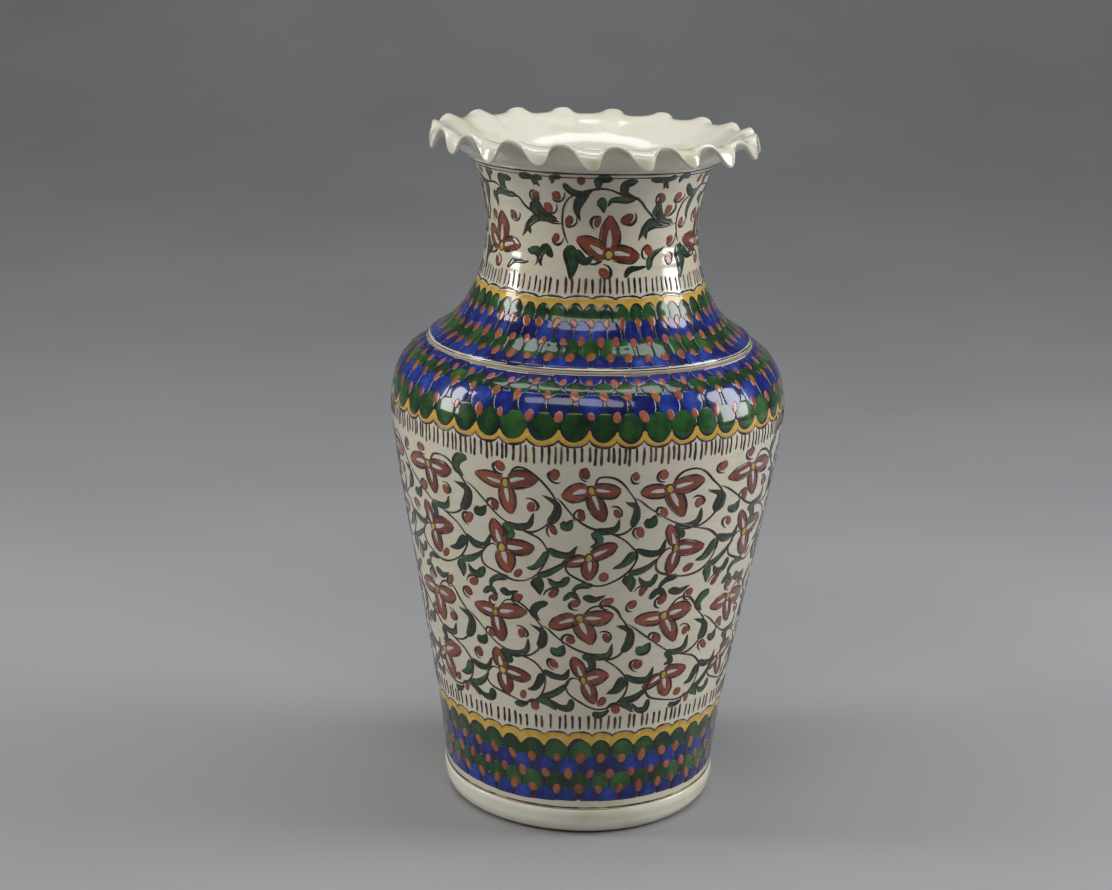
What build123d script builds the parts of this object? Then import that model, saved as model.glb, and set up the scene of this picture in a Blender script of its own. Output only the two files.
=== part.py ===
from build123d import *
import os

# Vase of painted tin-glazed earthenware, thrown in sections that are luted together with slip.
# Millimetres, +Z up, origin at the centre of the ring it stands on, axis of the pot on Z.

GLAZE = 0.6            # thickness of every glaze coat
SEAM = 0.8             # thickness of the slip that lutes two sections

FOOT_TOP = 12.0        # height of the foot ring
FOOT_INNER = 49.3      # its inner radius
BARE_FOOT = 3.0        # height wiped free of glaze so that the pot doesn't stick in the kiln
FLOOR_UNDER = 6.0      # underside of the floor, inside the foot ring
FLOOR_TOP = 15.0

SEAT = 211.8           # where the shoulder section sits on the belly section
TONGUE = 207.0         # how low the tongue inside that seat reaches
TONGUE_R = 66.8        # radius where the seat steps down to the tongue
COLLAR = 284.0         # where the rim is luted to the neck

FLUTES = 19
RIM_HALF = 2.1         # half the thickness of the rim
# Middle of the wall where the lip stands up in an arch, and where it is folded down in a lobe
RIM_ARCH = [(47.5, 284.0), (52.4, 291.4), (59.5, 297.2), (63.0, 299.8), (65.0, 301.2), (66.6, 302.0)]
RIM_LOBE = [(47.5, 284.0), (52.4, 291.4), (59.5, 297.7), (63.8, 300.9), (66.9, 299.8), (67.9, 295.4)]
# Shares of one flute, and how far the lip has risen there from lobe to arch
WAVE = ((0.0, 0.0), (0.1, 0.5), (0.22, 0.92), (0.36, 1.0), (0.56, 0.82), (0.78, 0.36), (1.0, 0.0))

# Profiles of the glazed surface, as radius and height, from the bottom upwards
FOOT = [(57.4, 0.0), (61.2, 3.4), (62.3, 8.0), (62.3, 12.8)]
BELLY = [
    (61.5, 12.0), (63.4, 30.0), (67.3, 57.0), (73.8, 95.4), (80.8, 135.5),
    (85.4, 165.7), (87.1, 185.8), (84.9, 197.8), (80.1, 205.8), (71.4, 211.8),
]
SHOULDER = [
    (68.9, 214.8), (63.8, 218.2), (57.4, 224.3), (52.8, 231.7), (49.0, 240.6),
    (46.9, 250.4), (45.9, 261.0), (47.0, 273.4), (50.0, 284.6),
]
HOLLOW = [
    (48.0, 15.0), (54.0, 21.0), (59.8, 57.0), (66.5, 96.5), (73.4, 136.7),
    (77.9, 167.0), (79.3, 184.5), (76.6, 195.0), (70.0, 202.6), (61.0, 210.4),
    (52.8, 219.8), (47.4, 229.4), (43.4, 239.2), (41.4, 250.0), (40.7, 261.0),
    (41.9, 273.6), (45.0, 284.6),
]

os.makedirs("parts", exist_ok=True)


def moved_left(points, distance):
    """The same profile, moved square to itself, to the left of the way it runs."""
    curve = Spline(*points, mode=Mode.PRIVATE)
    moved = []
    for r, z in points:
        along = curve.tangent_at((r, z))
        moved.append((r - distance * along.Y, z + distance * along.X))
    return moved


def pot_outline(depth=0.0):
    """Half section of the pot up to the collar as if it were solid."""
    with BuildSketch() as outline:
        with BuildLine():
            belly = Spline(*moved_left(BELLY, depth))
            shoulder = Spline(*moved_left(SHOULDER, depth))
            ThreePointArc(belly @ 1, (70.5 - depth, 213.4), shoulder @ 0)
            low = (belly @ 0).Y
            Polyline(
                shoulder @ 1, (0, (shoulder @ 1).Y), (0, FLOOR_UNDER),
                (FOOT_INNER - SEAM, FLOOR_UNDER), (FOOT_INNER - SEAM, low), belly @ 0,
            )
        make_face()
    return outline.sketch


def hollow_outline(depth=0.0):
    """Half section of the free space inside."""
    with BuildSketch() as outline:
        with BuildLine():
            wall = Spline(*moved_left(HOLLOW, -depth))
            floor = FLOOR_TOP - depth
            Polyline(wall @ 1, (0, (wall @ 1).Y), (0, floor), wall @ 0)
        make_face()
    return outline.sketch


def turned(label, solid, hollow, zone):
    """Turn what lies in one outline, outside another and within a zone, and store it."""
    with BuildPart() as piece:
        with BuildSketch(Plane.XZ):
            add(solid)
            add(hollow, mode=Mode.SUBTRACT)
            with BuildLine():
                Polyline(*zone, close=True)
            make_face(mode=Mode.INTERSECT)
        revolve(axis=Axis.Z)
    piece.part.label = label
    export_step(piece.part, f"parts/{label}.step")
    return piece


def rim_flute(depth=0.0):
    """One flute of the rim, lofted through sections that follow the wave of the lip."""
    half = RIM_HALF - depth
    with BuildPart() as flute:
        for share, rise in WAVE:
            middle = [
                (lobe[0] + rise * (arch[0] - lobe[0]), lobe[1] + rise * (arch[1] - lobe[1]))
                for lobe, arch in zip(RIM_LOBE, RIM_ARCH)
            ]
            lip = Spline(*middle) % 1
            with BuildSketch(Plane.XZ.rotated((0, 0, share * 360 / FLUTES))):
                with BuildLine():
                    under = Spline((47.5 + half, COLLAR), *moved_left(middle, -half)[1:])
                    top = Spline((47.5 - half, COLLAR), *moved_left(middle, half)[1:])
                    end = (middle[-1][0] + half * lip.X, middle[-1][1] + half * lip.Y)
                    ThreePointArc(under @ 1, end, top @ 1)
                    Line(top @ 0, under @ 0)
                make_face()
        loft()
    return flute.part


pot = pot_outline()
pot_clay = pot_outline(GLAZE)
hollow = hollow_outline()
hollow_clay = hollow_outline(GLAZE)

# Clay of the belly section with its floor, open at the top, and of the shoulder and neck section
FAR = 200.0
seat_low = [(FAR, SEAT), (TONGUE_R, SEAT), (TONGUE_R, TONGUE), (0, TONGUE)]
seat_high = [
    (FAR, SEAT + SEAM), (TONGUE_R - SEAM, SEAT + SEAM),
    (TONGUE_R - SEAM, TONGUE + SEAM), (0, TONGUE + SEAM),
]
collar_low = COLLAR - SEAM
above_foot = FOOT_TOP + SEAM
around_foot = [(0, 0), (FOOT_INNER - SEAM, 0), (FOOT_INNER - SEAM, above_foot), (FAR, above_foot)]

turned("belly", pot_clay, hollow_clay, seat_low + around_foot)
turned("shoulder_and_neck", pot_clay, hollow_clay, seat_high + [(0, collar_low), (FAR, collar_low)])

# Slip in the stepped joint between them, and in the plain joint below the rim
turned("shoulder_slip", pot_clay, hollow_clay, seat_low + seat_high[::-1])
turned("rim_slip", pot_clay, hollow_clay, [(0, collar_low), (FAR, collar_low), (FAR, COLLAR), (0, COLLAR)])

# Glaze on the outside of both sections and all over the inside
turned("belly_glaze", pot, pot_clay, [(55, above_foot), (FAR, above_foot), (FAR, SEAT), (55, SEAT)])
turned("shoulder_glaze", pot, pot_clay, [(30, SEAT), (FAR, SEAT), (FAR, COLLAR), (30, COLLAR)])
turned("inner_glaze", hollow_clay, hollow, [(0, 0), (FAR, 0), (FAR, COLLAR), (0, COLLAR)])

# Foot ring of clay around the edge of the floor, the slip that holds it, and its glaze
with BuildSketch() as foot_shape:
    with BuildLine():
        edge = Spline((FOOT[0][0] - GLAZE, 0), *moved_left(FOOT, GLAZE)[1:])
        Polyline(edge @ 1, (FOOT_INNER - SEAM, above_foot), (FOOT_INNER - SEAM, 0), edge @ 0)
    make_face()

with BuildPart() as foot_ring:
    with BuildSketch(Plane.XZ):
        add(foot_shape.sketch)
        with BuildLine():
            Polyline((FOOT_INNER, 0), (FAR, 0), (FAR, FOOT_TOP), (FOOT_INNER, FOOT_TOP), close=True)
        make_face(mode=Mode.INTERSECT)
    revolve(axis=Axis.Z)
    chamfer(foot_ring.edges().filter_by(GeomType.CIRCLE).group_by(Axis.Z)[0].sort_by(SortBy.RADIUS)[0], 1.0)

with BuildPart() as foot_slip:
    with BuildSketch(Plane.XZ):
        add(foot_shape.sketch)
        with BuildLine():
            Polyline((FOOT_INNER, 6), (FAR, 6), (FAR, FOOT_TOP), (FOOT_INNER, FOOT_TOP), close=True)
        make_face(mode=Mode.SUBTRACT)
        with BuildLine():
            Polyline((40, FLOOR_UNDER), (FAR, FLOOR_UNDER), (FAR, 20), (40, 20), close=True)
        make_face(mode=Mode.INTERSECT)
    revolve(axis=Axis.Z)

with BuildPart() as foot_glaze:
    with BuildSketch(Plane.XZ):
        with BuildLine():
            face = Spline(*FOOT)
            Polyline(face @ 1, (50, above_foot), (50, 0), face @ 0)
        make_face()
        add(foot_shape.sketch, mode=Mode.SUBTRACT)
        with BuildLine():
            Polyline((55, BARE_FOOT), (FAR, BARE_FOOT), (FAR, above_foot), (55, above_foot), close=True)
        make_face(mode=Mode.INTERSECT)
    revolve(axis=Axis.Z)

# Fluted rim, and the glaze that covers it from collar to collar
clay_flute = rim_flute(GLAZE)

with BuildPart() as glaze_flute:
    add(rim_flute())
    add(clay_flute, mode=Mode.SUBTRACT)

with BuildPart() as fluted_rim:
    with PolarLocations(0, FLUTES, start_angle=-90):
        add(clay_flute)

with BuildPart() as rim_glaze:
    with PolarLocations(0, FLUTES, start_angle=-90):
        add(glaze_flute.part)

for label, piece in {
    "foot_ring": foot_ring, "foot_slip": foot_slip, "foot_glaze": foot_glaze,
    "fluted_rim": fluted_rim, "rim_glaze": rim_glaze,
}.items():
    piece.part.label = label
    export_step(piece.part, f"parts/{label}.step")
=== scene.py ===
import math
import random

import bpy
import numpy as np
from mathutils import Matrix, Vector


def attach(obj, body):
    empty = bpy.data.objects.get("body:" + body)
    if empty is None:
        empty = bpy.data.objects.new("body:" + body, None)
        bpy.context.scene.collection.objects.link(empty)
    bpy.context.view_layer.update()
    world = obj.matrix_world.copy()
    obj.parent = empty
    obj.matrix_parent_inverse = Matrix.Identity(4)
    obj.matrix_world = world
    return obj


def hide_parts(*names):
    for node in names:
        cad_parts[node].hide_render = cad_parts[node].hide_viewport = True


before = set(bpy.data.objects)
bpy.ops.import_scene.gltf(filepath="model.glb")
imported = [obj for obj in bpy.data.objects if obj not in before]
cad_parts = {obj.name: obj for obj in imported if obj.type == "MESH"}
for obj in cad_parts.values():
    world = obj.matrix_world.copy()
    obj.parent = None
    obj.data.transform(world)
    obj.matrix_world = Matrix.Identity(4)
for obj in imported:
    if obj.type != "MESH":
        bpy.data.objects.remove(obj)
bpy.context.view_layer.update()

# The vase is worked out in millimetres and written in metres. An angle is counted from the side
# that faces the camera (-Y) towards +X, and a place on the wall is an angle and a length along
# the profile, so a painted stroke keeps its size wherever the pot is wide or narrow.
MM = 0.001
random.seed(7)

COAT = 0.6                      # thickness of a glaze coat

# Profiles of the glazed surface, as radius and height, from the bottom upwards. Most points of the
# belly and the shoulder are rounded results of a least-squares fit to the photographed outline.
FOOT = [(57.4, 0.6), (59.4, 1.6), (61.2, 3.9), (62.2, 8.0), (62.3, 11.2), (61.9, 12.6)]
BELLY = [
    (61.5, 12.0), (63.4, 30.0), (67.3, 57.0), (73.8, 95.4), (80.8, 135.5),
    (85.4, 165.7), (87.1, 185.8), (84.9, 197.8), (80.1, 205.8), (71.4, 211.8),
]
SHOULDER = [
    (71.2, 211.9), (71.2, 213.2), (70.3, 214.3), (68.7, 215.1), (63.8, 218.2), (57.4, 224.3),
    (52.8, 231.7), (49.0, 240.6), (46.9, 250.4), (45.9, 261.0), (47.0, 273.4), (50.0, 284.0),
    (51.6, 287.7), (53.3, 290.4), (54.3, 291.6),
]

# ---------------------------------------------------------------- curves and surfaces


def smooth(points, count):
    """Points on a curve through the given ones, spread evenly along it."""
    points = np.array(points, float)
    ends = np.vstack([2 * points[0] - points[1], points, 2 * points[-1] - points[-2]])
    pieces = []
    for a, b, c, d in zip(ends[:-3], ends[1:-2], ends[2:-1], ends[3:]):
        t = np.linspace(0, 1, 24, endpoint=False)[:, None]
        ab, bc, cd = (np.linalg.norm(q - p) ** 0.5 + 1e-9 for p, q in ((a, b), (b, c), (c, d)))
        m1 = bc * ((b - a) / ab - (c - a) / (ab + bc) + (c - b) / bc)
        m2 = bc * ((c - b) / bc - (d - b) / (bc + cd) + (d - c) / cd)
        pieces.append(
            (2 * t**3 - 3 * t**2 + 1) * b + (t**3 - 2 * t**2 + t) * m1
            + (3 * t**2 - 2 * t**3) * c + (t**3 - t**2) * m2
        )
    line = np.vstack(pieces + [points[-1:]])
    run = np.r_[0, np.cumsum(np.linalg.norm(np.diff(line, axis=0), axis=1))]
    even = np.linspace(0, run[-1], count)
    return np.stack([np.interp(even, run, line[:, k]) for k in range(line.shape[1])], 1)


def ripple(angle, height):
    """How far the hand-thrown wall stands proud of its true profile, in mm."""
    rings = 0.05 * np.sin(height * 1.35 + 1.5 * np.sin(angle)) + 0.04 * np.sin(height * 0.62 + 2 * angle)
    wander = 0.10 * np.sin(2 * angle + height * 0.021) + 0.06 * np.sin(5 * angle - height * 0.05)
    return rings + wander


class Wall:
    """The outer surface of one section, addressed by angle and length along its profile."""

    def __init__(self, points):
        self.line = smooth(points, 600)
        step = np.linalg.norm(np.diff(self.line, axis=0), axis=1)
        self.run = np.r_[0, np.cumsum(step)]
        self.length = self.run[-1]
        along = np.gradient(self.line, self.run, axis=0)
        along /= np.linalg.norm(along, axis=1)[:, None]
        self.out = np.stack([along[:, 1], -along[:, 0]], 1)

    def radius(self, length):
        return np.interp(length, self.run, self.line[:, 0])

    def at(self, angle, length, lift=0.0):
        angle, length, lift = np.broadcast_arrays(angle, length, lift)
        r, z, out_r, out_z = (
            np.interp(length, self.run, column)
            for column in (self.line[:, 0], self.line[:, 1], self.out[:, 0], self.out[:, 1])
        )
        lift = lift + ripple(angle, z)
        r = r + out_r * lift
        z = z + out_z * lift
        return np.stack([r * np.sin(angle), -r * np.cos(angle), z], -1)


def new_object(name, corners, faces, material, body="root"):
    """A smooth mesh piece from corners in mm."""
    mesh = bpy.data.meshes.new(name)
    mesh.from_pydata((np.asarray(corners) * MM).tolist(), [], faces)
    mesh.validate()
    mesh.polygons.foreach_set("use_smooth", [True] * len(mesh.polygons))
    mesh.materials.append(material)
    piece = bpy.data.objects.new(name, mesh)
    bpy.context.scene.collection.objects.link(piece)
    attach(piece, body)
    return piece


def grid_faces(rows, columns):
    """Quads of a grid whose columns close on themselves and whose rows do too."""
    faces = []
    for i in range(rows):
        j = (i + 1) % rows
        for k in range(columns):
            m = (k + 1) % columns
            faces.append((i * columns + k, i * columns + m, j * columns + m, j * columns + k))
    return faces


def turned_coat(name, points, thickness, material, rows=120, columns=360):
    """A closed coat of glaze turned from a profile, with its inner face one thickness inside."""
    wall = Wall(points)
    angles = np.linspace(0, math.tau, columns, endpoint=False)
    outer = [wall.at(angles, s) for s in np.linspace(0, wall.length, rows)]
    inner = [wall.at(angles, s, -thickness) for s in np.linspace(wall.length, 0, rows // 4)]
    rings = outer + inner
    corners = np.concatenate(rings)
    return new_object(name, corners, grid_faces(len(rings), columns), material), wall


# Middle of the rim's wall, where its lip stands up in an arch and where it is folded down in a lobe
ARCH = [
    (47.5, 284.0), (49.4, 288.3), (52.6, 292.0), (59.6, 297.8), (64.2, 301.3), (66.8, 303.0), (68.9, 304.1),
]
LOBE = [
    (47.5, 284.0), (49.4, 288.3), (52.6, 292.0), (59.4, 297.0), (64.8, 300.7), (70.0, 299.9), (71.3, 295.3),
]
# Where the lobes were pinched, in degrees around the pot; by hand, so they are uneven
LOBES = (
    -73, -54, -35.5, -17, 0.5, 18.5, 35, 52, 73, 95.5,
    111.5, 128.5, 146.5, 166, 186, 204.5, 223.5, 243, 265,
)


LEAN = 1.0                          # the lip stands this much higher on the left than true, in mm
MOUTH = (44.9, 283.9)               # where the inside of the rim meets the coat inside the neck


def pinched_rim(material, columns=608, along=26):
    """The rim from the collar up: a dished flange whose edge is folded down in lobes."""
    bounds = list(LOBES) + [LOBES[0] + 360]
    depth = [random.uniform(0.86, 1.08) for _ in LOBES] * 2
    sections = []
    for angle in np.linspace(LOBES[0], LOBES[0] + 360, columns, endpoint=False):
        k = max(i for i, start in enumerate(bounds[:-1]) if start <= angle)
        share = (angle - bounds[k]) / (bounds[k + 1] - bounds[k])
        rise = np.interp(share, WAVE_SHARES, WAVE_RISES)
        drop = (1 - rise) * ((1 - share) * depth[k] + share * depth[k + 1])
        middle = [
            (a[0] + drop * (b[0] - a[0]), a[1] + drop * (b[1] - a[1])) for a, b in zip(ARCH, LOBE)
        ]
        line = smooth(middle, along)
        run = np.linspace(0, 1, along)
        line[:, 1] -= LEAN * math.sin(math.radians(angle)) * run
        along_line = np.gradient(line, axis=0)
        along_line /= np.linalg.norm(along_line, axis=1)[:, None]
        out = np.stack([along_line[:, 1], -along_line[:, 0]], 1)
        outer = np.interp(run, (0, 0.34, 0.5, 0.8, 1), (1.2, 1.3, 1.9, 1.6, 0.95))[:, None]
        inner = np.interp(run, (0, 0.34, 0.5, 0.8, 1), (2.5, 2.2, 1.9, 1.6, 0.95))[:, None]
        swing = np.linspace(-math.pi / 2, math.pi / 2, 9)[1:-1, None]
        lip = line[-1] + outer[-1] * (out[-1] * -np.sin(swing) + along_line[-1] * np.cos(swing))
        loop = np.vstack([line + outer * out, lip, (line - inner * out)[::-1], [MOUTH]])[::-1]
        turn = math.radians(angle)
        sections.append(np.stack([
            loop[:, 0] * math.sin(turn), -loop[:, 0] * math.cos(turn), loop[:, 1],
        ], 1))
    return new_object("pinched_rim", np.concatenate(sections), grid_faces(columns, len(loop)), material)


def wave_table(count=200):
    """How far the lip has risen from lobe to arch, over one flute: steep at first, then a slow fall."""
    shares = np.linspace(0, 1, count)
    rises = smooth([
        (0, 0), (0.05, 0.08), (0.10, 0.42), (0.15, 0.76), (0.23, 0.95), (0.34, 1.0), (0.46, 0.96),
        (0.58, 0.80), (0.69, 0.50), (0.79, 0.21), (0.87, 0.06), (0.94, 0.0), (1, 0),
    ], count)
    return shares, np.interp(shares, rises[:, 0], rises[:, 1])


WAVE_SHARES, WAVE_RISES = wave_table()

# ---------------------------------------------------------------- materials


def shader(name, **settings):
    """A Principled material and its node tree."""
    material = bpy.data.materials.new(name)
    material.use_nodes = True
    tree = material.node_tree
    principled = tree.nodes["Principled BSDF"]
    for key, value in settings.items():
        principled.inputs[key.replace("_", " ")].default_value = value
    return material, tree, principled


def noise(tree, scale, detail=4.0, roughness=0.55):
    made = tree.nodes.new("ShaderNodeTexNoise")
    made.inputs["Scale"].default_value = scale
    made.inputs["Detail"].default_value = detail
    made.inputs["Roughness"].default_value = roughness
    tree.links.new(position(tree), made.inputs["Vector"])
    return made.outputs["Fac"]


def position(tree):
    for made in tree.nodes:
        if made.bl_idname == "ShaderNodeTexCoord":
            return made.outputs["Object"]
    return tree.nodes.new("ShaderNodeTexCoord").outputs["Object"]


def ramp(tree, factor, *stops):
    """Colours by factor; each stop is a place from 0 to 1 and a colour."""
    made = tree.nodes.new("ShaderNodeValToRGB")
    elements = made.color_ramp.elements
    while len(elements) < len(stops):
        elements.new(0.5)
    for element, (place, colour) in zip(elements, stops):
        element.position = place
        element.color = (*colour, 1.0)
    tree.links.new(factor, made.inputs["Fac"])
    return made.outputs["Color"]


def mix(tree, factor, first, second, blend="MIX"):
    made = tree.nodes.new("ShaderNodeMix")
    made.data_type = "RGBA"
    made.blend_type = blend
    for key, value in (("Factor", factor), ("A", first), ("B", second)):
        socket = [s for s in made.inputs if s.name == key and s.enabled][0]
        if isinstance(value, bpy.types.NodeSocket):
            tree.links.new(value, socket)
        else:
            socket.default_value = value if key == "Factor" else (*value, 1.0)
    return [s for s in made.outputs if s.enabled][0]


def bump(tree, principled, *layers):
    """Stack height fields as bumps; each is a strength, a distance in metres and a socket."""
    normal = None
    for strength, distance, height in layers:
        made = tree.nodes.new("ShaderNodeBump")
        made.inputs["Strength"].default_value = strength
        made.inputs["Distance"].default_value = distance
        tree.links.new(height, made.inputs["Height"])
        if normal:
            tree.links.new(normal, made.inputs["Normal"])
        normal = made.outputs["Normal"]
    tree.links.new(normal, principled.inputs["Normal"])


BLED = (0.56, 0.57, 0.33)           # where green has run into the white glaze


def white_glaze(name, pale, warm, speck):
    """Opaque tin glaze: slightly uneven colour, pinholes, kiln specks and orange-peel gloss."""
    material, tree, principled = shader(
        name, Roughness=0.16, IOR=1.52, Coat_Weight=0.6, Coat_Roughness=0.04, Coat_IOR=1.5,
    )
    base = ramp(tree, noise(tree, 22.0, 5.0), (0.35, pale), (0.68, warm))
    bled = ramp(tree, noise(tree, 48.0, 3.0), (0.56, (0, 0, 0)), (0.70, (0.45, 0.45, 0.45)))
    base = mix(tree, bled, base, BLED)
    pits = tree.nodes.new("ShaderNodeTexVoronoi")
    pits.inputs["Scale"].default_value = 150.0
    tree.links.new(position(tree), pits.inputs["Vector"])
    dots = ramp(tree, pits.outputs["Distance"], (0.03, (1, 1, 1)), (0.075, (0, 0, 0)))
    rare = ramp(tree, noise(tree, 60.0, 2.0), (0.60, (0, 0, 0)), (0.68, (1, 1, 1)))
    specks = mix(tree, 1.0, dots, rare, "MULTIPLY")
    tree.links.new(mix(tree, specks, base, speck), principled.inputs["Base Color"])
    bump(
        tree, principled,
        (0.10, 0.0012, noise(tree, 75.0, 2.0)),
        (0.08, 0.0004, noise(tree, 420.0, 3.0)),
    )
    return material


def paint(name, pooled, body, brushed, roughness=0.22, fine=240.0):
    """Ceramic colour under clear glaze: dark where it pooled, streaked pale where the brush dragged."""
    material, tree, principled = shader(
        name, IOR=1.5, Specular_IOR_Level=0.2, Coat_Weight=0.8, Coat_Roughness=0.03, Coat_IOR=1.5,
    )
    brush = tree.nodes.new("ShaderNodeAttribute")
    brush.attribute_name = "brush"
    parts = tree.nodes.new("ShaderNodeSeparateColor")
    tree.links.new(brush.outputs["Color"], parts.inputs["Color"])
    edge, tone = parts.outputs["Red"], parts.outputs["Blue"]
    streaks = noise(tree, fine, 6.0, 0.65)
    load = sums(tree, (streaks, 0.9), (tone, 0.34), (edge, -0.22))
    tree.links.new(
        ramp(tree, load, (0.26, pooled), (0.52, body), (0.86, brushed)), principled.inputs["Base Color"]
    )
    gloss = ramp(tree, streaks, (0.3, (roughness - 0.08,) * 3), (0.7, (roughness + 0.1,) * 3))
    tree.links.new(gloss, principled.inputs["Roughness"])
    bump(tree, principled, (0.12, 0.0004, streaks), (0.10, 0.0010, noise(tree, 75.0, 2.0)))
    return material


def sums(tree, *terms):
    """Sockets added up, each times its weight."""
    total = None
    for socket, weight in terms:
        made = tree.nodes.new("ShaderNodeMath")
        made.operation = "MULTIPLY_ADD"
        tree.links.new(socket, made.inputs[0])
        made.inputs[1].default_value = weight
        if total:
            tree.links.new(total, made.inputs[2])
        else:
            made.inputs[2].default_value = 0.0
        total = made.outputs[0]
    return total


def fired_clay(name, dark, light):
    material, tree, principled = shader(name, Roughness=0.85)
    grain = noise(tree, 260.0, 8.0, 0.7)
    tree.links.new(ramp(tree, grain, (0.3, dark), (0.7, light)), principled.inputs["Base Color"])
    bump(tree, principled, (0.5, 0.0006, noise(tree, 900.0, 4.0)), (0.3, 0.001, grain))
    return material


WHITE = white_glaze("tin_glaze_white", (0.69, 0.635, 0.525), (0.74, 0.675, 0.505), (0.12, 0.07, 0.04))
CREAM = white_glaze("tin_glaze_cream", (0.82, 0.785, 0.67), (0.75, 0.70, 0.56), (0.16, 0.10, 0.05))
CLAY = fired_clay("fired_clay", (0.33, 0.17, 0.09), (0.50, 0.30, 0.18))
CLEAN = paint("paint_slit_white", (0.50, 0.46, 0.42), (0.62, 0.58, 0.54), (0.68, 0.65, 0.60))
BROWN = paint(
    "paint_brown_line", (0.010, 0.005, 0.005), (0.030, 0.011, 0.010), (0.16, 0.07, 0.04), fine=170.0,
)
BLACK = paint("paint_black_outline", (0.007, 0.003, 0.003), (0.022, 0.007, 0.006), (0.10, 0.032, 0.018))
RUST = paint("paint_rust", (0.12, 0.026, 0.013), (0.225, 0.052, 0.024), (0.34, 0.100, 0.048))
ORANGE = paint("paint_orange", (0.20, 0.05, 0.022), (0.32, 0.088, 0.038), (0.44, 0.15, 0.072))
LEAF = paint("paint_leaf_green", (0.006, 0.016, 0.008), (0.013, 0.048, 0.019), (0.05, 0.13, 0.05))
GREEN = paint(
    "paint_border_green", (0.003, 0.018, 0.005), (0.011, 0.060, 0.011), (0.045, 0.15, 0.028), fine=150.0,
)
BLUE = paint("paint_cobalt", (0.002, 0.004, 0.050), (0.004, 0.012, 0.165), (0.020, 0.065, 0.38), fine=150.0)
DARK = paint("paint_dark_ground", (0.004, 0.006, 0.014), (0.008, 0.013, 0.030), (0.015, 0.03, 0.05))
YELLOW = paint("paint_yellow", (0.48, 0.26, 0.030), (0.66, 0.40, 0.055), (0.78, 0.53, 0.14))
HEART = paint("paint_heart_yellow", (0.30, 0.20, 0.02), (0.50, 0.36, 0.05), (0.62, 0.48, 0.12))

# ---------------------------------------------------------------- brushwork

# Paint lies on the glaze in low relief, in layers: ground colours first, outlines and dots last
GROUND, PATCH, OVER, LINE, DOT = 0.04, 0.08, 0.12, 0.17, 0.20
SUNK, KEEL = -0.05, -0.25           # the edges and the underside of a stroke, inside the glaze


class Brush:
    """Gathers every stroke of one colour on the pot into a single closed mesh."""

    def __init__(self, name, material):
        self.name, self.material = name, material
        self.corners, self.faces, self.tones = [], [], []
        self.count = 0

    def add(self, wall, left, right, lift, across=5):
        """A ridge of paint between two edges, each a list of (angle, length) on the wall."""
        left, right = np.asarray(left, float), np.asarray(right, float)
        t = np.linspace(0, 1, across)
        edge = np.abs(2 * t - 1)
        height = np.tile(lift * (1 - edge**4) ** 0.7, (len(left), 1))
        height[:, [0, -1]] = SUNK
        height[[0, -1]] = SUNK
        t = np.r_[t, 0.5]                   # the last column is the keel, under the glaze
        height = np.c_[height, np.full(len(left), KEEL)]
        place = left[:, None] * (1 - t[:, None]) + right[:, None] * t[:, None]
        points = wall.at(place[..., 0], place[..., 1], height)
        rows, columns = height.shape
        index = self.count + np.arange(rows * columns).reshape(rows, columns)
        after = np.roll(index, -1, 1)
        self.faces += np.stack([index[:-1], after[:-1], after[1:], index[1:]], -1).reshape(-1, 4).tolist()
        self.faces += [index[0][::-1].tolist(), index[-1].tolist()]
        tone = np.stack(np.broadcast_arrays(
            np.r_[edge, 1.0][None], np.linspace(0, 1, rows)[:, None], random.random(),
        ), -1)
        self.corners.append(points.reshape(-1, 3))
        self.tones.append(tone.reshape(-1, 3))
        self.count += index.size

    def ring(self, wall, angles, low, high, lift, across=5):
        """A band that runs right round the pot between two lengths, which may vary with the angle."""
        t = np.r_[np.linspace(0, 1, across), np.linspace(1, 0, across)[1:-1]][:, None]
        edge = np.abs(2 * t - 1)
        height = lift * (1 - edge**4)
        height[[0, across - 1]] = SUNK
        height[across:] = KEEL
        points = wall.at(angles[None], low[None] * (1 - t) + high[None] * t, height)
        index = self.count + np.arange(points[..., 0].size).reshape(points.shape[:2])
        up = np.roll(index, -1, 0)
        self.faces += np.stack(
            [index, np.roll(index, -1, 1), np.roll(up, -1, 1), up], -1
        ).reshape(-1, 4).tolist()
        tone = np.stack(np.broadcast_arrays(edge, (angles % 1.0)[None], 0.5), -1)
        self.corners.append(points.reshape(-1, 3))
        self.tones.append(tone.reshape(-1, 3))
        self.count += index.size

    def finish(self):
        piece = new_object(self.name, np.concatenate(self.corners), self.faces, self.material)
        colour = np.ones((self.count, 4))
        colour[:, :3] = np.concatenate(self.tones)
        layer = piece.data.color_attributes.new("brush", "FLOAT_COLOR", "POINT")
        layer.data.foreach_set("color", colour.ravel())
        return piece


def sway(angle, length):
    """The painter's unsteady hand: a slow drift of up to about 1 mm, in mm along and up the wall."""
    x = 0.8 * np.sin(5 * angle + length * 0.061 + 1.0) + 0.5 * np.sin(17 * angle - length * 0.113)
    y = 0.8 * np.sin(4 * angle - length * 0.052 + 2.0) + 0.5 * np.sin(19 * angle + length * 0.097)
    return x, y


# How far along a petal, and how wide it is there, as a share of its full width
PETAL_WIDTHS = (
    (0, 0.12, 0.3, 0.48, 0.68, 0.84, 0.95, 1),
    (0.5, 0.72, 0.96, 1, 0.89, 0.58, 0.24, 0.05),
)


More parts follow.
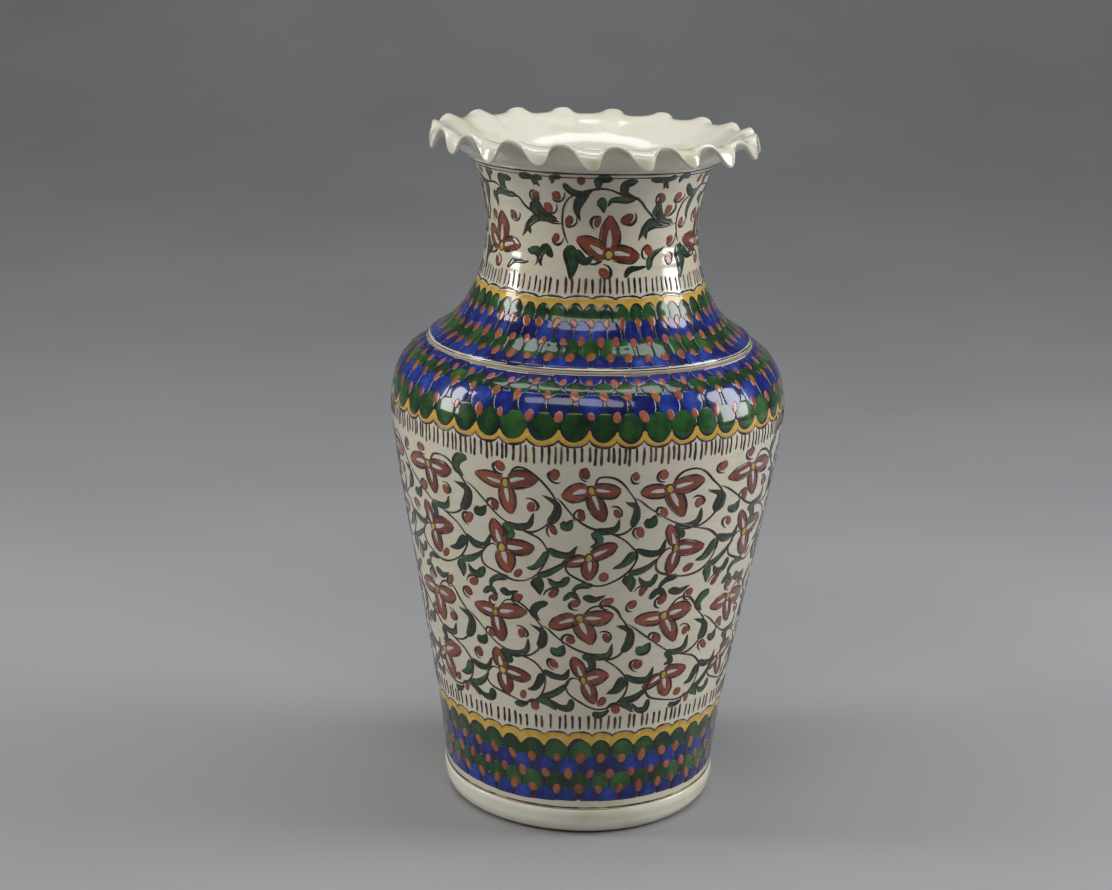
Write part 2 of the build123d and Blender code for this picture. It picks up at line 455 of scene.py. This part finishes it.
class Canvas:
    """A flat drawing in mm laid on the wall, x to the right and y up."""

    def __init__(self, wall, place, level, columns=None, pitch=1.0, shift=(0.0, 0.0)):
        self.wall, self.place, self.level, self.columns = wall, place, level, columns
        self.pitch, self.shift = pitch, shift

    def moved(self, x, y):
        """The same canvas with its middle at another place."""
        return Canvas(
            self.wall, self.place, self.level, self.columns, self.pitch,
            (self.shift[0] + x, self.shift[1] + y),
        )

    def on_wall(self, points):
        """Angles and lengths for points of the drawing; among columns, they drift with the hand."""
        x, y = (np.asarray(points, float) + self.shift).T
        length = self.level + y
        if self.columns is None:
            return np.stack([self.place + x / self.wall.radius(self.level), length], 1)
        dx, dy = sway(math.tau * (self.place + x / self.pitch) / self.columns.count, length)
        angle = self.columns.angle(self.place + (x + dx) / self.pitch, length)
        return np.stack([angle, length + dy], 1)

    def stroke(self, brush, points, width, lift=LINE, taper=(0.25, 0.2), step=0.8):
        """A stroke of the brush along a line, thin where it starts and where it is lifted off."""
        points = np.asarray(points, float)
        length = np.linalg.norm(np.diff(points, axis=0), axis=1).sum()
        count = max(6, int(length / step) + 3)
        line = smooth(points, count)
        run = np.linspace(0, 1, count)
        ahead = np.gradient(line, axis=0)
        ahead /= np.linalg.norm(ahead, axis=1)[:, None] + 1e-9
        side = np.stack([-ahead[:, 1], ahead[:, 0]], 1)
        start = np.minimum(1, run / taper[0] * 0.75 + 0.25)
        end = np.minimum(1, (1 - run) / taper[1] * 0.75 + 0.25)
        swell = start * end
        swell = swell * (1 + 0.14 * np.sin(run * (5 + 0.3 * length) + 9 * random.random()))
        swell[[0, -1]] = 0.1
        half = (width / 2 * swell)[:, None]
        brush.add(self.wall, self.on_wall(line + half * side), self.on_wall(line - half * side), lift)

    def leaf(self, brush, points, width, lift=PATCH, across=7):
        """A long patch, fat in its middle, along a line."""
        points = np.asarray(points, float)
        length = np.linalg.norm(np.diff(points, axis=0), axis=1).sum()
        count = max(9, int(length / 0.9) + 3)
        line = smooth(points, count)
        run = np.linspace(0, 1, count)
        ahead = np.gradient(line, axis=0)
        ahead /= np.linalg.norm(ahead, axis=1)[:, None] + 1e-9
        side = np.stack([-ahead[:, 1], ahead[:, 0]], 1)
        swell = np.sin(math.pi * run ** 0.62) ** 0.75 * 0.94 + 0.06
        half = (width / 2 * swell)[:, None]
        left, right = line + half * side, line - half * side
        brush.add(self.wall, self.on_wall(left), self.on_wall(right), lift, across)
        return left, right

    def spot(self, brush, centre, radius, lift=OVER, tall=1.0, lean=0.0, rows=9, across=7):
        """A dab of the brush, roughly round."""
        turn = np.linspace(0, math.pi, rows)
        wobble = 1 + 0.07 * np.sin(2 * turn + 6 * random.random())
        up = -np.cos(turn) * radius * tall * wobble
        half = np.maximum(np.sin(turn), 0.05) * radius * wobble
        middle = np.array(centre)[None] + np.stack([up * math.sin(lean), up * math.cos(lean)], 1)
        side = np.stack([half * math.cos(lean), -half * math.sin(lean)], 1)
        brush.add(self.wall, self.on_wall(middle - side), self.on_wall(middle + side), lift, across)

    def petal(self, brush, tip, width, lift=PATCH):
        """A pointed petal from the heart of the flower to its tip; gives its outline in mm."""
        tip = np.asarray(tip, float)
        reach = np.linalg.norm(tip)
        ahead = tip / reach
        side = np.array([-ahead[1], ahead[0]])
        run = np.linspace(0.02, 1, 16)
        centre = run[:, None] * tip
        swell = np.interp(run, *PETAL_WIDTHS)
        half = (width / 2 * swell)[:, None]
        left, right = centre + half * side, centre - half * side
        brush.add(self.wall, self.on_wall(left), self.on_wall(right), lift, 9)
        return left, right


def uneven(turn):
    """Where a hand that meant to space things evenly really put them."""
    return turn + 0.010 * np.sin(5 * turn + 1) + 0.007 * np.sin(11 * turn + 2) + 0.004 * np.sin(23 * turn)


def waver(turn):
    """How far a painted border strays up and down the wall, in mm."""
    return 0.35 * np.sin(4 * turn + 0.5) + 0.22 * np.sin(9 * turn + 2)


def arches(turn, count, shift=0.0):
    """Rounded arches side by side: 0 at each cusp and 1 at each top."""
    share = (turn * count / math.tau + shift) % 1.0
    return (1 - np.abs(2 * share - 1) ** 2) ** 0.55


def scale_row(wall, brush, count, low, high, lift, rounded="top", shift=0.0, wide=0.5):
    """A row of painted fish scales, flat at one end and rounded at the other."""
    up = rounded == "top"
    run = np.sin(np.linspace(0, math.pi / 2, 13))
    for k in range(count):
        turn = (k + 0.5 - shift) * math.tau / count
        angle, stray = uneven(turn), waver(turn)
        half = wide * (uneven(turn + math.pi / count) - uneven(turn - math.pi / count))
        half *= random.uniform(0.95, 1.03)
        start, end = (low, high) if up else (high, low)
        end += random.uniform(-0.35, 0.35)
        round_from = max(0.05, 1 - half * wall.radius((low + high) / 2) / (high - low))
        shape = np.sqrt(1 - np.clip((run - round_from) / (1 - round_from), 0, 1) ** 2)
        across = half * np.maximum(shape, 0.05) * (1 if up else -1)
        length = start + (end - start) * run + stray
        lean = random.uniform(-0.12, 0.12) * half * run
        brush.add(
            wall, np.stack([angle - across + lean, length], 1),
            np.stack([angle + across + lean, length], 1), lift * random.uniform(0.92, 1.08), across=7,
        )


def dot_row(wall, count, length, shift=0.0, size=1.9):
    """Rust dots in the dips between the scales of a row."""
    for k in range(count):
        turn = (k - shift) * math.tau / count
        angle = uneven(turn) + random.uniform(-0.006, 0.006)
        canvas = Canvas(wall, angle, length + waver(turn) + random.uniform(-0.3, 0.3))
        canvas.spot(
            orange_dots, (0, 0), size * random.uniform(0.85, 1.12), DOT,
            tall=random.uniform(1.0, 1.3), lean=random.uniform(-0.5, 0.5),
        )


def border_band(brush, wall, low, high, lift, columns=360):
    """A band of colour round the wall; its edges are lengths or arrays over the turn."""
    turn = np.linspace(0, math.tau, columns, endpoint=False)
    width = np.max(high - low)
    low, high = (np.broadcast_to(edge, turn.shape) + waver(turn) for edge in (low, high))
    brush.ring(wall, uneven(turn), low, high, lift, across=max(5, int(width / 0.8)))


def arch_line(brush, wall, level, height, count, width, columns=1080, shift=0.0):
    """A thin line that follows a row of arches; a negative height hangs them."""
    turn = np.linspace(0, math.tau, columns, endpoint=False)
    middle = level + height * arches(turn, count, shift) + waver(turn)
    thick = width * (1 + 0.25 * np.sin(turn * 37) + 0.15 * np.sin(turn * 91))
    brush.ring(wall, uneven(turn), middle - thick / 2, middle + thick / 2, LINE)


def plain_line(brush, wall, level, width, columns=720, gaps=0.0):
    """A line drawn on the turning wheel; gaps says how much the brush ran dry."""
    turn = np.linspace(0, math.tau, columns, endpoint=False)
    middle = level + 0.12 * np.sin(3 * turn + level) + 0.06 * np.sin(8 * turn)
    dry = np.clip(np.sin(5 * turn + 1) * np.sin(13 * turn) + 0.4 * np.sin(41 * turn), 0, 1)
    thick = width * (1 + 0.2 * np.sin(17 * turn) - 0.85 * gaps * dry)
    brush.ring(wall, turn, middle - thick / 2, middle + thick / 2, LINE)


def hatch(wall, count, level, length, hang=False):
    """Short upright strokes side by side, each one load of the brush."""
    for k in range(count):
        turn = (k + random.uniform(-0.18, 0.18)) * math.tau / count
        reach = length * random.uniform(0.84, 1.08) * (-1 if hang else 1)
        lean = random.uniform(-0.35, 0.35)
        canvas = Canvas(wall, uneven(turn), level + waver(turn))
        canvas.stroke(
            hatching, [(0, 0), (lean * 0.4 + 0.1, reach * 0.5), (lean, reach)],
            random.uniform(1.15, 1.5), taper=(0.2, 0.12), step=1.1,
        )


# ---- the flowers

BERRY = 1.95                        # radius of a berry, in mm
HOOK = 190                          # how far a stalk goes round its berry, in degrees


def berry(canvas, centre, start=None):
    """A round berry, with a hooked stalk that goes round it from the start angle in degrees."""
    centre = np.array(centre, float) + [random.uniform(-0.4, 0.4), random.uniform(-0.4, 0.4)]
    canvas.spot(
        berries, centre, BERRY * random.uniform(1.0, 1.22), PATCH,
        tall=random.uniform(1.0, 1.25), lean=random.uniform(-0.8, 0.8),
    )
    if start is None:
        return
    turn = np.radians(start + np.linspace(0, HOOK, 8) + random.uniform(-15, 15))
    reach = BERRY * np.linspace(0.95, 1.9, 8)[:, None]
    hook = centre + reach * np.stack([np.cos(turn), np.sin(turn)], 1)
    canvas.stroke(vines, hook, random.uniform(1.2, 1.5), taper=(0.3, 0.4), step=0.7)


def flower(canvas, tips):
    """Three pointed petals with dark outlines and a white slit each, round a yellow heart."""
    for tip in tips:
        tip = np.array(tip, float) * random.uniform(0.95, 1.05)
        turn = random.uniform(-0.09, 0.09)
        tip = np.array([
            tip[0] * math.cos(turn) - tip[1] * math.sin(turn),
            tip[0] * math.sin(turn) + tip[1] * math.cos(turn),
        ])
        reach = np.linalg.norm(tip)
        side = np.array([-tip[1], tip[0]]) / reach
        left, right = canvas.petal(petals, tip, reach * random.uniform(0.50, 0.58))
        for edge, width in ((left, 1.0), (right, 0.85)):
            canvas.stroke(outlines, edge[1:], width, LINE, taper=(0.2, 0.3), step=0.9)
        slit = [tip * 0.13 + side * 0.2, tip * 0.34 + side * random.uniform(-0.2, 0.5), tip * 0.64]
        canvas.leaf(slits, slit, reach * 0.235, OVER, across=5)
        vein = [tip * 0.10 + side * 0.9, tip * 0.33 + side * 1.3, tip * 0.62 + side * 0.4]
        canvas.stroke(outlines, vein, 0.5, LINE, step=0.9)
    canvas.spot(outlines, (0, 0), 2.15, LINE, rows=11)
    canvas.spot(flower_hearts, (0.1, -0.1), 1.65, DOT + 0.05, rows=11)


def leaf(canvas, points, width):
    """A dark green brush mark with a black edge that curls past its tip."""
    points = np.array(points, float)
    points = points[0] + (points - points[0]) * random.uniform(1.1, 1.25)
    left, right = canvas.leaf(leaves, points, width * random.uniform(1.05, 1.3))
    edge = left if random.random() < 0.5 else right
    tip = points[-1] + 0.16 * (points[-1] - points[-2])
    line = np.vstack([points[:1], edge[2:-1], [tip]])
    canvas.stroke(outlines, line, 1.25, LINE, taper=(0.3, 0.1), step=0.9)


class Columns:
    """Flowers stand in columns that aren't quite evenly spaced; gives angles between them."""

    def __init__(self, lengths, fronts, count):
        self.lengths = lengths
        self.rows = []
        for front in fronts:
            rest = np.linspace(front[-1], front[0] + 360, count - len(front) + 2)[1:-1]
            self.rows.append(np.radians(np.r_[front, rest]))
        self.rows = np.array(self.rows)
        self.count = count

    def angle(self, place, length):
        """The angle at a place counted in columns, at a length along the wall."""
        below = np.floor(place).astype(int)
        share = place - below
        at = []
        for column in (below, below + 1):
            full, column = np.divmod(column, self.count)
            row = np.interp(length, self.lengths, np.arange(len(self.lengths)))
            low = np.minimum(row.astype(int), len(self.lengths) - 1)
            high = np.minimum(low + 1, len(self.lengths) - 1)
            mixed = self.rows[low, column] * (1 - row + low) + self.rows[high, column] * (row - low)
            at.append(mixed + math.tau * full)
        return at[0] * (1 - share) + at[1] * share


BELLY_PETALS = (
    [(-13.0, -1.2), (15.2, -0.8), (1.9, -14.6)],
    [(-12.5, 1.5), (14.0, 3.0), (0.5, -14.0)],
    [(-13.5, -3.0), (13.8, 1.2), (3.0, -14.2)],
)
BELLY_LOWER_PETALS = (
    [(14.5, 5.4), (-9.5, -6.0), (4.8, -12.8)],
    [(-2.4, 12.0), (13.2, 3.2), (5.6, -11.5)],
    [(12.6, 3.8), (-9.0, -5.2), (3.4, -12.0)],
    [(-1.0, 12.4), (13.4, -1.5), (2.6, -12.2)],
)
BELLY_VINES = (
    [(1.3, 1.7), (4, 6.2), (9.8, 6.4), (16.1, 1.3), (20, -6), (19.1, -11.4), (14.9, -17.1), (9.2, -20.1),
     (4.9, -19.7)],
    [(-16.2, -3.4), (-14, -5), (-8.9, -10.7), (-2.9, -16.1), (4.9, -19.5), (12.2, -23.5),
     (15.8, -30.9), (13.1, -39.9),
     (5.5, -44), (-4.1, -41.6), (-10.6, -38), (-11.8, -33.6), (-8.5, -29.3), (-5, -29.9)],
)
BELLY_LEAVES = (
    ([(-1.7, -17.8), (3.1, -18.8), (7.3, -17.4), (9.2, -13.1)], 2.6),
    ([(-2.6, -18.5), (-0.2, -20.1), (0, -22.8), (-2.9, -24.2)], 3.2),
    ([(15.5, -16.4), (18.2, -12.8), (19.1, -8.7), (15.2, -6.4)], 3.4),
    ([(20.9, -15.8), (24.2, -16.1), (26.3, -13.4)], 3.8),
    ([(14.9, -27.2), (18.8, -29.5), (23, -29.5), (25.7, -25.5)], 2.8),
    ([(14.3, -28.2), (13.7, -31.5), (11.6, -34.6), (8.6, -35.6)], 3.6),
    ([(13.7, -39.6), (17, -39.3), (20.6, -36.9), (23.3, -33.6)], 2.8),
    ([(13.4, -40.3), (15.8, -43.6), (17, -47)], 4.0),
    ([(-9.5, -39.9), (-10.7, -43.6), (-13.7, -43.6), (-16.1, -41.3)], 3.0),
    ([(1.9, -43.6), (-2.3, -43.6), (-4.7, -45.6), (-4.4, -48.3)], 2.4),
    ([(-1.0, -49.2), (3.0, -51.0), (6.4, -49.4)], 2.8),
    ([(-8.6, -52.6), (-6.2, -49.8), (-2.6, -52.2)], 2.6),
)
BELLY_BERRIES = (
    (-2.6, 7.2, 100), (-5, -11, 30), (9.8, -9.4, -60), (5, -40.3, None),
    (-13.5, -48.5, 10), (9.5, -52.5, 100),
)
BELLY_ROWS = (157.0, 96.2)          # lengths along the wall of the two rows of columns
BELLY_PITCH = 36.0                  # the width that one column was drawn for, in mm
BELLY_LOWEST = 49.8                 # nothing hangs into the strokes below the flowers
# Between two columns the painter put one thing or another
BELLY_CHOICES = (
    (((20.3, 6, 110), None), (None, ([(21.5, 8), (18.2, 6), (17.5, 3), (19.8, 0.3)], 3.6))),
    (((18.5, -19, 60), None), ((21.2, -22.6, 70), None)),
)
# Small leaves and a berry in the gaps under the last row of flowers
LOWEST_LEAVES = (
    ([(-24.0, -41.0), (-20.8, -42.2), (-18.2, -45.0)], 3.2),
    ([(0.6, -45.6), (3.8, -46.2), (6.8, -44.8)], 2.6),
)
LOWEST_BERRIES = ((-25.2, -44.4, 20),)
NECK_PETALS = [(1.3, 15.2), (-14.5, 4.8), (13.8, 0.7)]
NECK_VINES = (
    [(-2.6, -2.1), (-7.9, -4.5), (-11.8, -3.8), (-13.2, -2.8)],
    [(-17.4, 2.8), (-19.1, 6.9), (-20.4, 11.7), (-20.1, 17.2), (-18.4, 20.7), (-14.5, 24.1), (-8.6, 26.6),
     (-2, 26.8), (4.6, 25.5), (10.5, 23.4), (14.5, 18.6), (19.1, 15.2), (23.5, 12.4), (30.6, 11.7)],
)
NECK_LEAVES = (
    ([(-17.4, 2.8), (-15.8, -3.4), (-16.4, -9)], 4.6), ([(-15.1, 0.7), (-11.8, -2.8), (-8.9, -0.7)], 3.0),
    ([(-19.1, 29.7), (-15.8, 26.6), (-10.5, 26.2), (-7.9, 27.2)], 3.0),
    ([(-7.9, 26.6), (-10.5, 23.4), (-12.5, 18.6), (-11.8, 14.5)], 3.4),
    ([(9.9, 31), (5.9, 30.7), (5.9, 26.9), (9.9, 24.5)], 3.0),
    ([(10.5, 23.8), (4.6, 23.4), (1.3, 22.1), (0.3, 19.7)], 2.6),
    ([(21.1, 20.7), (19.4, 18.6), (20.4, 15.2)], 3.0), ([(21.1, 14.1), (17.1, 11.7), (14.5, 7.6)], 3.0),
    ([(-28.9, 23.4), (-30.3, 22.1), (-28.3, 17.2), (-23.7, 14.5)], 2.8),
    ([(-23, 13.8), (-29.6, 13.1), (-32.9, 10.3), (-32.2, 7.6)], 3.4),
    ([(13.2, 31.7), (18, 32.4), (21, 29.3)], 2.8), ([(25, 33.1), (21.7, 32.4), (21, 29.3)], 2.6),
    ([(0, 32.4), (-3.9, 31.7), (-4.6, 27.6)], 3.2), ([(-19, 33.1), (-22.4, 32.8), (-23, 30.3)], 2.6),
    ([(5.9, -9.7), (9.2, -6.6), (14.5, -5.9)], 2.4),
    ([(-5.4, 22.3), (-3.6, 21.2), (-2.6, 18)], 3.6),
)
NECK_BERRIES = (
    (-22.4, 24.1, 200), (-17.1, 12.1, 190), (-23.4, 5.5, 190), (-10.9, 31.4, None), (-5.3, 13.1, 70),
    (7.9, 14.8, 210), (-2.6, -6.9, -90), (25, 18.6, 210), (20.4, 24.1, 90),
)
NECK_LEVEL = 54.4
NECK_PITCH = 51.0
# Low down the gaps between the flowers are filled in two ways: these leaves, or these berries
NECK_GAP_LEAVES = (
    ([(-35.2, 0), (-31.5, -0.7), (-29.8, -5.5)], 3.0), ([(-23.7, -3.4), (-27.1, 0), (-29.8, -5.5)], 3.0),
    ([(17.8, -6.9), (18.4, -2.8), (23, 0.7)], 2.4),
)
NECK_GAP_BERRIES = ((18.4, 1.6, 80), (27, -3.4, -80))


def belly_flowers():
    """Two rows of two kinds of flower on winding vines, in thirteen columns."""
    columns = Columns(
        (66.5, 96.2, 127.3, 157.0),
        [(-54.4, -25.1, 4.2, 34.4, 62.2), (-57.3, -28.9, 0, 25.9, 57.2),
         (-49.7, -20.4, 3.8, 31.4, 62.8), (-50.7, -22.8, 1.9, 24.0, 54.9)],
        13,
    )
    for level in BELLY_ROWS:
        for k in range(columns.count):
            canvas = Canvas(belly_wall, k, level, columns, BELLY_PITCH)
            for line in BELLY_VINES:
                canvas.stroke(vines, line, random.uniform(1.05, 1.25), taper=(0.05, 0.05))
            for points, width in BELLY_LEAVES:
                if level + min(y for _, y in points) > BELLY_LOWEST:
                    leaf(canvas, points, width)
            chosen = [random.choice(pair) for pair in BELLY_CHOICES]
            for x, y, start in BELLY_BERRIES + tuple(one[0] for one in chosen if one[0]):
                if level + y > BELLY_LOWEST + 1.5:
                    berry(canvas, (x, y), start=start)
            for points, width in (one[1] for one in chosen if one[1]):
                leaf(canvas, points, width)
            flower(canvas, random.choice(BELLY_PETALS))
            flower(canvas.moved(-4.1, -29.9), random.choice(BELLY_LOWER_PETALS))
    return columns


def lowest_leaves(columns):
    """What the painter put in the gaps just above the lower strokes."""
    for k in range(columns.count):
        canvas = Canvas(belly_wall, k, BELLY_ROWS[-1], columns, BELLY_PITCH)
        for points, width in LOWEST_LEAVES:
            leaf(canvas, points, width)
        for x, y, start in LOWEST_BERRIES:
            berry(canvas, (x, y), start=start)


def neck_flowers():
    """Six larger flowers round the neck, under a vine that runs on from one to the next."""
    columns = Columns((0.0,), [(-55.0, 9.3, 74.0)], 6)
    for k in range(columns.count):
        canvas = Canvas(shoulder_wall, k, NECK_LEVEL, columns, NECK_PITCH)
        for line in NECK_VINES:
            canvas.stroke(vines, line, random.uniform(1.05, 1.25), taper=(0.06, 0.06))
        odd = k % 2 == 1
        for points, width in NECK_LEAVES + (NECK_GAP_LEAVES if odd else ()):
            leaf(canvas, points, width)
        for x, y, start in NECK_BERRIES + (NECK_GAP_BERRIES if odd else ()):
            berry(canvas, (x, y), start=start)
        flower(canvas, NECK_PETALS)


def lower_border():
    """From the foot up: a line, three rows of scales, green domes under a yellow band, strokes."""
    wall, count = belly_wall, 42
    plain_line(ring_lines, wall, 1.5, 1.0, gaps=1.0)
    border_band(border_ground, wall, 4.1, 32.6, GROUND)
    turn = np.linspace(0, math.tau, 720, endpoint=False)
    edge = arches(turn, count, 0.5)
    border_band(yellow_bands, wall, 31.8, 37.5 + 2.4 * edge, GROUND + 0.02, 720)
    scale_row(wall, dark_scales, count, 25.0, 36.3, PATCH + 0.01, shift=0.5, wide=0.72)
    scale_row(wall, green_scales, count, 25.0, 35.5, PATCH + 0.04, shift=0.5, wide=0.66)
    scale_row(wall, blue_scales, count, 18.0, 27.5, PATCH + 0.05, wide=0.55)
    scale_row(wall, green_scales, count, 9.5, 19.5, PATCH + 0.06, shift=0.5, wide=0.55)
    scale_row(wall, blue_scales, count, 4.4, 11.8, PATCH + 0.07, wide=0.55)
    dot_row(wall, count, 10.8, size=2.3)
    dot_row(wall, count, 18.6, 0.5, size=2.3)
    dot_row(wall, count, 26.5, size=2.3)
    arch_line(scallop_lines, wall, 37.5, 2.4, count, 0.95, shift=0.5)
    hatch(wall, 137, 40.9, 7.6)


def upper_border():
    """From the ridge down: three rows of scales, green scallops on a yellow band, hanging strokes."""
    wall, count = belly_wall, 46
    turn = np.linspace(0, math.tau, 720, endpoint=False)
    edge = arches(turn, count)
    border_band(border_ground, wall, 180.8, 207.1, GROUND)
    border_band(yellow_bands, wall, 178.2 - 3.2 * edge, 182.6, GROUND + 0.02, 720)
    scale_row(wall, dark_scales, count, 176.9, 190.0, PATCH + 0.01, "bottom", wide=0.73)
    scale_row(wall, green_scales, count, 177.7, 190.0, PATCH + 0.04, "bottom", wide=0.665)
    scale_row(wall, blue_scales, count, 186.2, 198.0, PATCH + 0.05, "bottom", 0.5, wide=0.58)
    scale_row(wall, green_scales, count, 195.0, 203.2, PATCH + 0.06, "bottom", wide=0.58)
    scale_row(wall, blue_scales, count, 201.2, 207.3, PATCH + 0.07, "bottom", 0.5, wide=0.58)
    dot_row(wall, count, 187.5, size=2.2)
    dot_row(wall, count, 196.2, 0.5, size=2.1)
    dot_row(wall, count, 202.8, size=1.9)
    arch_line(scallop_lines, wall, 178.2, -3.2, count, 1.1)
    hatch(wall, 208, 175.8, 8.4, hang=True)
    plain_line(ring_lines, wall, 207.4, 0.5, gaps=0.8)


def shoulder_border():
    """From the ridge up: three rows of scales, green domes under a yellow band, upright strokes."""
    wall, count = shoulder_wall, 50
    turn = np.linspace(0, math.tau, 720, endpoint=False)
    border_band(border_ground, wall, 1.6, 31.0, GROUND)
    border_band(yellow_bands, wall, 30.0, 35.0 + 1.3 * arches(turn, 29), GROUND + 0.02, 720)
    scale_row(wall, dark_scales, count, 23.0, 33.7, PATCH + 0.01, shift=0.5, wide=0.74)
    scale_row(wall, green_scales, count, 23.0, 33.0, PATCH + 0.04, shift=0.5, wide=0.67)
    scale_row(wall, blue_scales, count, 15.0, 26.3, PATCH + 0.05, wide=0.58)
    scale_row(wall, green_scales, count, 6.5, 17.9, PATCH + 0.06, shift=0.5, wide=0.58)
    scale_row(wall, blue_scales, count, 1.8, 9.6, PATCH + 0.07, wide=0.58)
    dot_row(wall, count, 8.6, size=2.25)
    dot_row(wall, count, 16.8, 0.5, size=2.15)
    dot_row(wall, count, 25.1, size=2.1)
    plain_line(ring_lines, wall, 1.35, 0.5, gaps=0.8)
    arch_line(scallop_lines, wall, 35.3, 1.4, 29, 1.0)
    hatch(wall, 111, 37.2, 7.3)
    plain_line(ring_lines, wall, wall.length - 2.9, 0.7)
    plain_line(ring_lines, wall, wall.length - 1.0, 1.1)


# ---------------------------------------------------------------- the glazed pot

belly, belly_wall = turned_coat("belly_glaze_coat", BELLY, COAT, WHITE, rows=170)
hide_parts("belly_glaze")

shoulder, shoulder_wall = turned_coat("shoulder_glaze_coat", SHOULDER, COAT, WHITE, rows=100)
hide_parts("shoulder_glaze")

foot, _ = turned_coat("foot_glaze_coat", FOOT, COAT, CREAM, rows=24)
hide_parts("foot_glaze")

rim = pinched_rim(CREAM)
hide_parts("fluted_rim", "rim_glaze")

# ---------------------------------------------------------------- the painting

ring_lines = Brush("ring_lines", BROWN)
scallop_lines = Brush("scallop_lines", BROWN)
hatching = Brush("hatching", BROWN)
vines = Brush("vines", BLACK)
outlines = Brush("petal_and_leaf_outlines", BLACK)
slits = Brush("petal_slits", CLEAN)
petals = Brush("petals", RUST)
berries = Brush("berries", RUST)
leaves = Brush("leaves", LEAF)
flower_hearts = Brush("flower_hearts", HEART)
orange_dots = Brush("orange_dots", ORANGE)
green_scales = Brush("green_scales", GREEN)
blue_scales = Brush("blue_scales", BLUE)
dark_scales = Brush("scale_edges", DARK)
border_ground = Brush("border_ground", DARK)
yellow_bands = Brush("yellow_bands", YELLOW)

lower_border()
upper_border()
shoulder_border()
belly_columns = belly_flowers()
neck_flowers()
lowest_leaves(belly_columns)
for brush in (
    ring_lines, scallop_lines, hatching, vines, outlines, slits, petals, berries, leaves,
    flower_hearts, orange_dots, green_scales, blue_scales, dark_scales, border_ground, yellow_bands,
):
    brush.finish()

for name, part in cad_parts.items():
    kind = WHITE if name == "inner_glaze" else CREAM if name == "rim_glaze" else CLAY
    part.data.materials.clear()
    part.data.materials.append(kind)

# ---------------------------------------------------------------- floor, light and camera


def floor_material():
    material, tree, principled = shader("pale_floor", Roughness=0.75)
    tint = ramp(tree, noise(tree, 3.0, 3.0), (0.3, (0.31, 0.31, 0.315)), (0.7, (0.35, 0.35, 0.35)))
    tree.links.new(tint, principled.inputs["Base Color"])
    bump(tree, principled, (0.05, 0.001, noise(tree, 300.0, 3.0)))
    return material


def make_floor():
    """A sweep of pale paper: flat in front, curving up far behind."""
    profile = smooth([(-3.0, 0), (-1.5, 0), (0, 0), (1.3, 0), (2.1, 0.25), (2.5, 0.95), (2.6, 2.6)], 40)
    corners = [(x, y, z) for y, z in profile for x in (-4.0, 4.0)]
    faces = [(2 * i, 2 * i + 1, 2 * i + 3, 2 * i + 2) for i in range(len(profile) - 1)]
    mesh = bpy.data.meshes.new("floor")
    mesh.from_pydata(corners, [], faces)
    mesh.polygons.foreach_set("use_smooth", [True] * len(faces))
    mesh.materials.append(floor_material())
    floor = bpy.data.objects.new("floor", mesh)
    bpy.context.scene.collection.objects.link(floor)


def softbox(name, place, target, width, height, watts, colour=(1, 1, 1)):
    light = bpy.data.lights.new(name, "AREA")
    light.shape = "RECTANGLE"
    light.size = width
    light.size_y = height
    light.energy = watts
    light.color = colour
    made = bpy.data.objects.new(name, light)
    made.location = place
    made.rotation_euler = (Vector(target) - Vector(place)).to_track_quat("-Z", "Y").to_euler()
    bpy.context.scene.collection.objects.link(made)


def make_lights():
    middle = (0, 0, 0.17)
    softbox("left_softbox", (-1.25, -0.12, 0.62), middle, 0.30, 0.80, 7.4, (1.0, 0.99, 0.97))
    softbox("right_softbox", (1.20, 0.02, 0.60), middle, 0.50, 0.85, 10.5, (0.97, 0.98, 1.0))
    softbox("top_softbox", (0.0, 0.06, 1.50), middle, 1.6, 0.46, 9.5, (0.90, 0.95, 1.0))
    softbox("front_fill", (-0.3, -2.1, 2.8), middle, 3.2, 0.7, 27, (1.0, 0.985, 0.96))
    world = bpy.data.worlds.new("studio")
    world.use_nodes = True
    world.node_tree.nodes["Background"].inputs["Color"].default_value = (0.8, 0.82, 0.85, 1)
    world.node_tree.nodes["Background"].inputs["Strength"].default_value = 0.18
    bpy.context.scene.world = world
    bpy.context.scene.view_settings.view_transform = "Standard"


def make_camera():
    """845 mm in front of the axis, 400 mm up, looking 15.7 degrees down."""
    data = bpy.data.cameras.new("camera")
    data.sensor_width = 36.0
    data.lens = 63.26                   # in mm; fitted, with the place, to the pot's outline and ellipses
    camera = bpy.data.objects.new("camera", data)
    turn, pitch, roll = math.radians(-0.92), math.radians(15.74), math.radians(1.31)
    camera.matrix_world = (
        Matrix.Translation((0, -0.8455, 0.400)) @ Matrix.Rotation(-turn, 4, "Z")
        @ Matrix.Rotation(math.pi / 2 - pitch, 4, "X") @ Matrix.Rotation(roll, 4, "Z")
    )
    bpy.context.scene.collection.objects.link(camera)
    bpy.context.scene.camera = camera


make_floor()
make_lights()
make_camera()
